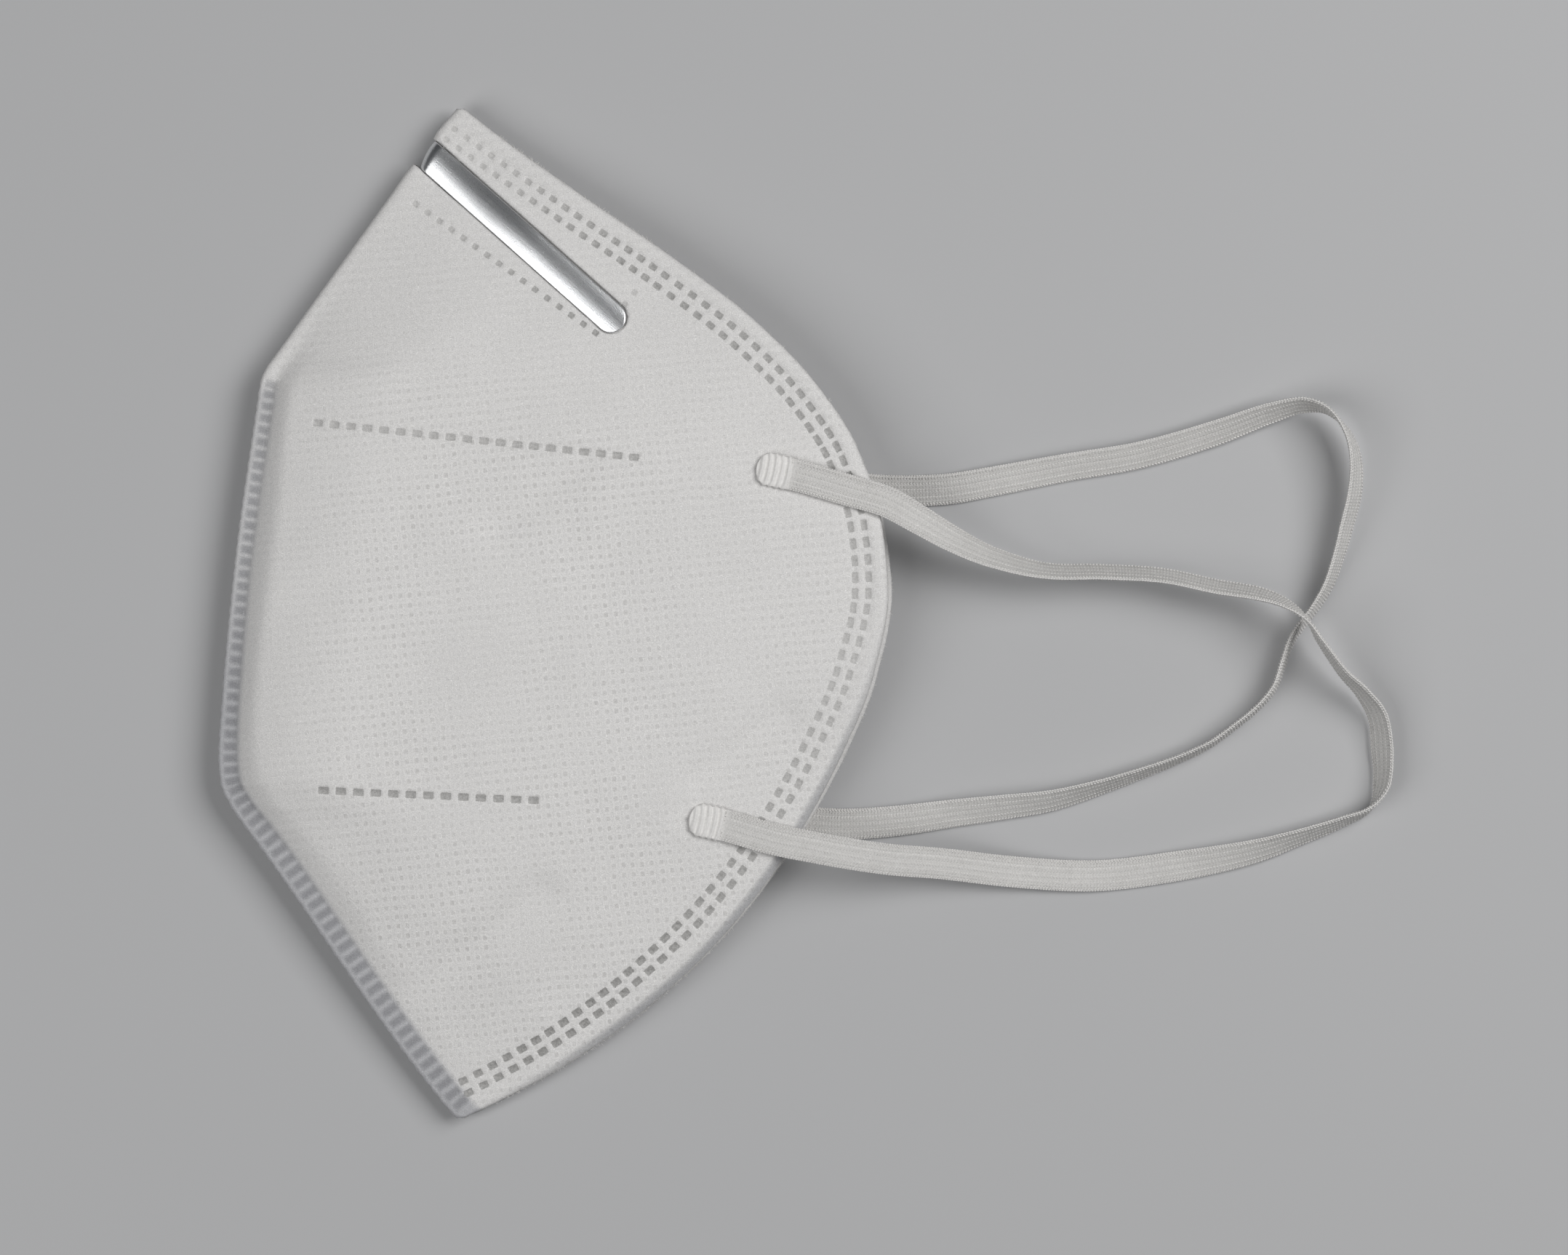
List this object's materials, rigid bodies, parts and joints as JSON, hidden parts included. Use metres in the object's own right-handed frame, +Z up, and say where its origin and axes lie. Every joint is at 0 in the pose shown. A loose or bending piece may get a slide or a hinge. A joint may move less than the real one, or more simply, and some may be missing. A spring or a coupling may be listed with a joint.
{
  "type": "respirator mask",
  "caption": "White flat-fold respirator mask lying folded on its side: hollow layered web with a ribbed front seam, bent nose strip and loose elastic ear loops.",
  "frame": {"origin": "middle of the folded mask's box in plan, on the surface that it lies on", "axes": "+X from the front seam to the face opening, +Y from the chin to the nose, +Z up from the surface, out of the upper half"},
  "size_m": [0.1864, 0.16, 0.0128],
  "materials": {
    "nonwoven_web": "matt white spunbond nonwoven with pressed dots and grey weld squares",
    "bare_aluminium": "satin rolled strip with a fine grain",
    "knitted_elastic": "white flat knitted elastic"
  },
  "bodies": {
    "root": {"mask_body": "nonwoven_web", "nose_strip": "bare_aluminium", "left_ear_loop": "knitted_elastic", "right_ear_loop": "knitted_elastic"}
  },
  "joints": []
}
